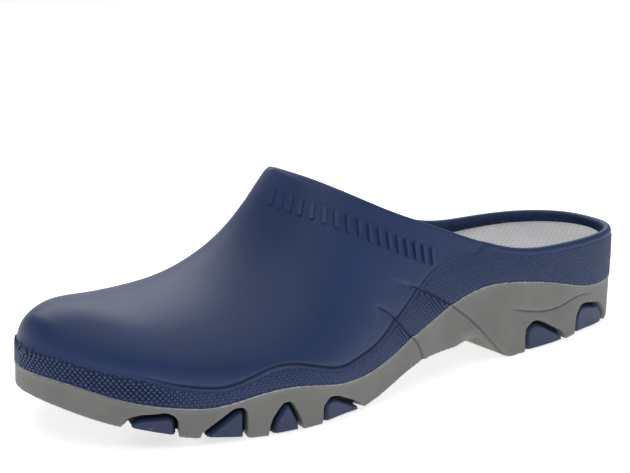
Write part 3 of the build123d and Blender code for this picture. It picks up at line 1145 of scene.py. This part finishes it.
finishes = {
    "upper": upperMaterial(),
    "sole": plainRubber("soleRubber", rubberLook["grey"], linear(rubberLook["greyDark"]), rubberLook["greyRough"],
                        0.985, folded=True),
    "lug": plainRubber("lugRubber", rubberLook["lugBlue"], linear(rubberLook["lugBlue"], 0.9), 0.5,
                       0.999, paintRecessShade=True),
    "stud": plainFinish("studRubber", rubberLook["bandBlue"], 0.5),
    "frieze": plainFinish("friezeRubber", rubberLook["navy"], 0.4, 1.08),
    "foam": plainFinish("insoleFoamFinish", (205, 206, 204), 0.95),
    "textile": textileMaterial(),
    "dot": plainFinish("dotFinish", (128, 129, 134), 0.9),
    "fibre": plainFinish("fibreFinish", (214, 216, 220), 0.9),
}


bandLength = 360.0


def sideReach(side, x):
    # distance round the outline from the heel, brought to one total on both sides
    points = sides[side][0]
    reach = reachAlong(points)
    return np.interp(x, np.maximum.accumulate(points[:, 0]), reach / reach[-1] * bandLength)


def markBand():
    # tells the upper's material where the textured band is, how far round each point lies, and where it paints shade
    # lines in the folds and groove and a highlight line on the band's ridge
    places = vertexPlaces(upperShell)
    x, _, z = places.T
    side, depth, lean, _ = sideDepth(places)
    depth -= lean
    along = np.where(side == 0, sideReach(0, x), sideReach(1, x))
    band = 1 - soft(bandDistance(x, z), -1.1, -0.2)
    rear = 1 - soft(z, toplineAt(x) - 3.0, toplineAt(x) - 1.8)
    band = np.where(x < 97, rear, band) * (1 - soft(depth, 3.0, 4.5))
    outside = (depth < 3.0) & (z < 54)
    # distances for painted shade lines in the folds, then for the painted shade line in the band's groove and the
    # painted highlight line on its ridge
    folds = [(name + "Fold", np.where(outside, foldGap(x, z, name), 30.0)) for name in ("long", "short")]
    edge = np.where((x > 97) & (depth < 3.5), bandDistance(x, z), 30.0)
    groove = np.clip((edge - 0.55) / np.maximum(soft(x, 126, 162) * (toeFade(x) - 0.1), 0.02), -30, 30)
    ridge = np.clip((edge + 0.35) / np.maximum(soft(x, 104, 118) * (toeFade(x) - 0.1), 0.02), -30, 30)
    for label, values in (("bandMask", band), ("bandAlong", along), ("bandUp", z), ("bandGrooveShade", groove),
                          ("bandRidgeHighlight", ridge), *folds):
        mark(upperShell, label, values)


def markCover():
    # a paler strip where the cover turns over its edge
    places = vertexPlaces(insoleCover)
    inside = sideDepth(places)[1] - innerInset(places[:, 0]) - insoleLook["gap"]
    mark(insoleCover, "coverEdge", 1 - soft(inside, 0.5, 1.7))


markBand()
markCover()
for item, label in ((upperShell, "upper"), (soleCup, "sole"), (insoleFoam, "foam"), (insoleCover, "textile")):
    item.data.materials.clear()
    item.data.materials.append(finishes[label])
for lug in lugs:
    lug.data.materials.append(finishes["lug"])
print("materials ready")


def onForm(side, reach, z):
    # place, outward normal and level heading on the outside, from distance round the outline and height
    points = sides[side][0]
    x = np.interp(reach, sideReach(side, points[:, 0]), points[:, 0])
    ownRing = np.where(ringSides == side)[0]
    if side == 1:
        ownRing = np.r_[ownRing, 0]
        ownRing = ownRing[np.argsort(ringX[ownRing])]
        ownRing = np.r_[ownRing, len(stations) - 1]
    reaches = sideReach(side, ringX[ownRing])
    share = np.interp(reach, reaches, np.arange(len(ownRing)))
    low = int(min(share, len(ownRing) - 2))
    part = share - low
    found, rows = [], np.arange(fineRows)
    for column in (ownRing[low], ownRing[low + 1]):
        row = np.interp(z, form[column, :, 2], rows)
        found.append([readAt(row, rows, grid[column]) for grid in (form, formNormal)])
    place = found[0][0] * (1 - part) + found[1][0] * part
    normal = found[0][1] * (1 - part) + found[1][1] * part
    normal /= np.linalg.norm(normal)
    heading = np.cross((0, 0, 1), normal)
    return place, normal, heading / np.linalg.norm(heading)


def frustum(name, base, top, height, sunk, turn=pi / 4):
    # a low four-sided stud standing on its carrier point
    verts = []
    for size, z in ((base, -sunk), (top, height)):
        for i in range(4):
            angle = turn + i * pi / 2
            verts.append((size[0] * cos(angle) * mm, size[1] * sin(angle) * mm, z * mm))
    faces = [(3, 2, 1, 0), (4, 5, 6, 7)] + [(i, (i + 1) % 4, 4 + (i + 1) % 4, 4 + i) for i in range(4)]
    return meshObject(name, verts, faces, smooth=False)


studLook = {"height": 0.2, "base": 1.02, "top": 0.68, "sunk": 0.3, "seed": 5}


def bandStuds():
    pitch = rubberLook["hatchPitch"] / 2
    steps = round(bandLength / pitch)
    carriers = []
    for side in (0, 1):
        i, j = (a.ravel() for a in np.meshgrid(np.arange(side, steps + 1 - side), np.arange(40), indexing="ij"))
        reach, z = i * pitch, j * pitch
        outlineX = sides[side][0][:, 0]
        x = np.interp(reach, sideReach(side, outlineX), outlineX)
        kept = ((i + j) % 2 == 0) & (z > partingAt(x) + 0.9)
        kept &= np.where(x < 97, z < toplineAt(x) - 3.4, bandDistance(x, z) < -1.5)
        for name in ("long", "short"):
            kept &= np.abs(signedDistance(x, z, creases[name])[0]) > 0.85
        for distance, height in zip(reach[kept], z[kept]):
            place, normal, heading = onForm(side, distance, height)
            carriers.append((place + normal * upperLook["bandRise"], normal, heading))
    base, top = (studLook["base"],) * 2, (studLook["top"],) * 2
    shape = frustum("studShape", base, top, studLook["height"], studLook["sunk"], 0.0)
    return scattered("bandStuds", zip(*carriers), shape, finishes["stud"], 0.9, 1.06, studLook["seed"])


studs = bandStuds()
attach(studs, "clog")


friezeLook = {"to": 124.0, "skip": 8.0, "below": 11.5, "pitch": 5.0, "bar": (2.1, 7.2), "height": 0.9, "slant": 18.0}


def friezeBars():
    # a row of slanted raised bars on the lateral side, following the collar
    columns = [i for i in range(throatIndex, -1, -1) if stations[i] > friezeLook["to"]]
    edge, normal = form[columns, -1], formNormal[columns, -1]
    heading = np.gradient(edge, axis=0)
    away = unit(np.cross(normal, heading))
    away *= np.sign((away * (form[columns, -8] - edge)).sum(1))[:, None]
    away[0] = away[1]
    cloud, cloudNormal = (grid[ringSides == 0].reshape(-1, 3) for grid in (form, formNormal))
    nearest = [int(((cloud - t) ** 2).sum(1).argmin()) for t in edge + away * friezeLook["below"]]
    points, normals = evened(cloud[nearest], 30), evened(cloudNormal[nearest], 30)
    reach = reachAlong(points)
    marks = np.arange(friezeLook["skip"], reach[-1], friezeLook["pitch"])
    at, normal, heading = (readAt(marks, reach, a) for a in (points, normals, np.gradient(points, axis=0)))
    normal = unit(normal)
    heading = unit(heading - normal * (heading * normal).sum(1)[:, None])
    upwards = np.cross(normal, heading)
    lean = radians(friezeLook["slant"])
    leaning = heading * cos(lean) + upwards * sin(lean)
    width, length = (v / sqrt(2) for v in friezeLook["bar"])
    shape = frustum("friezeShape", (width, length), (width * 0.8, length * 0.95), friezeLook["height"], 0.5)
    return scattered("frieze", (at, normal, leaning), shape, finishes["frieze"])


frieze = friezeBars()
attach(frieze, "clog")


def coverDots():
    # a slanted grid of small dark pricks over the insole
    lateral, medial = insolePlan(2.2)
    first, second = (np.array(v) for v in insoleLook["dotSteps"])
    places = []
    for i in range(-150, 60):
        for j in range(-20, 80):
            x, y = i * first + j * second
            if not lateral[0, 0] + 1 < x < lateral[-1, 0] - 1:
                continue
            if np.interp(x, medial[:, 0], medial[:, 1]) < y < np.interp(x, lateral[:, 0], lateral[:, 1]):
                point = np.array([x, y, 0.0])
                point[2] = insoleHeight(point, insoleLook["coverTop"])
                places.append(point)
    shape = frustum("dotShape", (insoleLook["dotRadius"],) * 2, (insoleLook["dotRadius"] * 0.85,) * 2, 0.05, 0.15)
    carriers = places, [(0, 0, 1)] * len(places), [(1, 0, 0)] * len(places)
    return scattered("coverDots", carriers, shape, finishes["dot"], 0.8, 1.15, insoleLook["seed"])


def coverFibres():
    # loose ends along the cushion's edge
    chance = random.Random(insoleLook["seed"])
    lateral, medial = insolePlan(0.35)
    carriers = []
    for _ in range(insoleLook["fibres"]):
        side = chance.random() < 0.5
        edge = medial if side else lateral
        spot = chance.uniform(2, len(edge) - 3)
        low = int(spot)
        xy = edge[low] * (1 - spot + low) + edge[low + 1] * (spot - low)
        if xy[0] > 190:
            continue
        out = onSide(int(side), xy[0])[1]
        place = np.array([xy[0], xy[1], 0.0])
        place[2] = insoleHeight(place, insoleLook["coverTop"] - 0.2)
        lift = chance.uniform(0.7, 2.2)
        facing = np.array([out[0] * 0.8 + chance.uniform(-0.7, 0.7), out[1] * 0.8 + chance.uniform(-0.7, 0.7), lift])
        carriers.append((place, unit(facing), (chance.uniform(-1, 1), chance.uniform(-1, 1), 0.1)))
    shape = frustum("fibreShape", (0.05, 0.05), (0.02, 0.02), 1.0, 0.25)
    return scattered("coverFibres", zip(*carriers), shape, finishes["fibre"], *insoleLook["fibreLength"],
                     insoleLook["seed"])


dots, fibres = coverDots(), coverFibres()
for piece in (dots, fibres):
    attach(piece, "insole")


stageLook = {
    "floor": (250, 250, 250),
    "floorGlow": 0.68,
    "world": (0.62, 0.64, 0.68),
    "worldStrength": 0.30,
    "exposure": 0.0,
}


def lamp(name, place, target, size, power, colour=(1.0, 1.0, 1.0)):
    light = bpy.data.lights.new(name, "AREA")
    light.shape, light.size, light.size_y = "RECTANGLE", size[0], size[1]
    light.energy, light.color = power, colour
    item = bpy.data.objects.new(name, light)
    item.location = place
    item.rotation_euler = (Vector(target) - Vector(place)).to_track_quat("-Z", "Y").to_euler()
    bpy.context.collection.objects.link(item)
    return item


def buildStage():
    made, tree, _, surface = startMaterial("paleFloor")
    finish(tree, surface, {"Base Color": linear(stageLook["floor"]), "Roughness": 0.9, "Specular IOR Level": 0.1,
                           "Emission Color": (1, 1, 1, 1), "Emission Strength": stageLook["floorGlow"]})
    drop = -0.0002  # just clear of the tread
    corners = [(x, y, drop) for x, y in ((-6, -6), (6, -6), (6, 6), (-6, 6))]
    floor = meshObject("floor", corners, [(0, 1, 2, 3)], smooth=False)
    floor.data.materials.append(made)
    world = bpy.data.worlds.new("studio")
    world.use_nodes = True
    backdrop = world.node_tree.nodes["Background"]
    backdrop.inputs["Color"].default_value = (*stageLook["world"], 1.0)
    backdrop.inputs["Strength"].default_value = stageLook["worldStrength"]
    bpy.context.scene.world = world
    lamp("overhead", (0.05, 0.1, 1.1), (0, 0, 0.03), (1.3, 1.3), 5.2)
    lamp("toeSide", (1.0, 0.0, 0.95), (0.05, 0, 0.04), (0.7, 0.7), 0.5)
    lamp("heelSide", (-0.75, 0.85, 0.55), (-0.05, 0, 0.03), (0.8, 0.6), 0.55)
    lamp("behind", (-0.55, -1.05, 0.85), (0, 0, 0.05), (1.7, 0.9), 10.5)
    view = bpy.context.scene.view_settings
    view.view_transform, view.look, view.exposure = "Standard", "None", stageLook["exposure"]


buildStage()


cameraLook = {
    "azimuth": 144.3,
    "elevation": 14.2,
    "roll": -0.3,
    "distance": 0.650,
    "lens": 86.5,
    "target": (0.0006, -0.0233, 0.0502),
}


def buildCamera():
    lens = bpy.data.cameras.new("camera")
    lens.lens, lens.sensor_width = cameraLook["lens"], 36.0
    lens.clip_start, lens.clip_end = 0.01, 50.0
    item = bpy.data.objects.new("camera", lens)
    a, e = radians(cameraLook["azimuth"]), radians(cameraLook["elevation"])
    back = Vector((sin(a) * cos(e), -cos(a) * cos(e), sin(e)))
    item.location = Vector(cameraLook["target"]) + back * cameraLook["distance"]
    item.rotation_mode = "QUATERNION"
    turn = (-back).to_track_quat("-Z", "Y")
    item.rotation_quaternion = turn @ Matrix.Rotation(radians(cameraLook["roll"]), 3, "Z").to_quaternion()
    bpy.context.collection.objects.link(item)
    bpy.context.scene.camera = item


buildCamera()
print("stage and camera ready")
